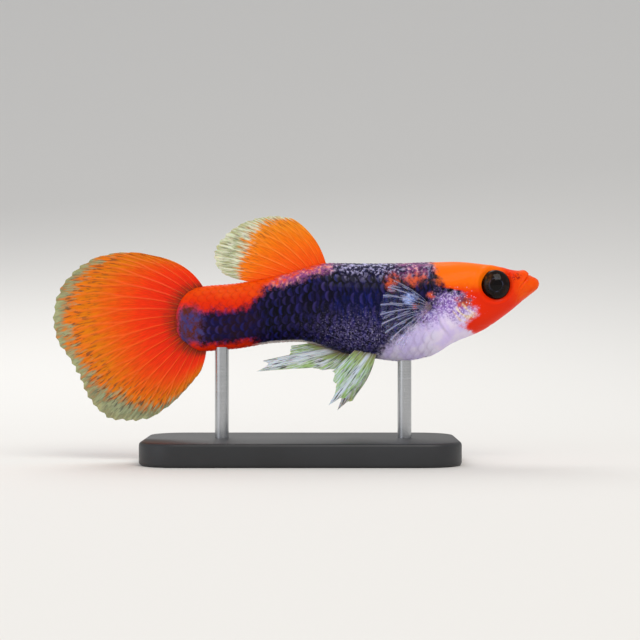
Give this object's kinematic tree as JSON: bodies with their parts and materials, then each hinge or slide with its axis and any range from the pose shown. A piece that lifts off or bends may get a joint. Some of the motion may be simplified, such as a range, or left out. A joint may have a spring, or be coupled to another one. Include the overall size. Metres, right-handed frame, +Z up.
{
  "type": "fancy guppy",
  "caption": "Male fancy guppy with a wide orange tail fin, spread dorsal, anal, pelvic and pectoral fins and an upturned mouth, held on short rods over a flat base.",
  "frame": {"origin": "middle of the underside of the bounding box, on the surface that the base stands on", "axes": "+X towards the snout, +Y towards the fish's left side, +Z up"},
  "size_m": [0.0419, 0.015, 0.0211],
  "materials": {
    "head_skin": "moist scaled skin, orange with a red-orange cheek and pale gill region",
    "body_skin": "moist scaled skin, violet-black flank with blue and violet metallic scale edges and a pearly belly",
    "stalk_skin": "moist scaled skin, orange-red with blue mottling",
    "eye": "wet clear cornea over a dark brown iris and black pupil",
    "orange_fin": "thin moist fin membrane, orange at its base and clear towards its margin, with raised rays",
    "clear_fin": "thin moist fin membrane, pale greenish and partly see-through, with raised rays",
    "base_plate": "satin black",
    "rod": "fine brushed steel"
  },
  "bodies": {
    "root": {"head": "head_skin", "lower_jaw": "head_skin", "trunk": "body_skin", "tail_stalk": "stalk_skin", "caudal_fin": "orange_fin", "dorsal_fin": "orange_fin", "anal_fin": "clear_fin", "pelvic_fin_right": "clear_fin", "pelvic_fin_left": "clear_fin", "pectoral_fin_right": "clear_fin", "pectoral_fin_left": "clear_fin", "eye_right": "eye", "eye_left": "eye", "stand_base": "base_plate", "stand_rod_front": "rod", "stand_rod_rear": "rod"}
  },
  "joints": []
}
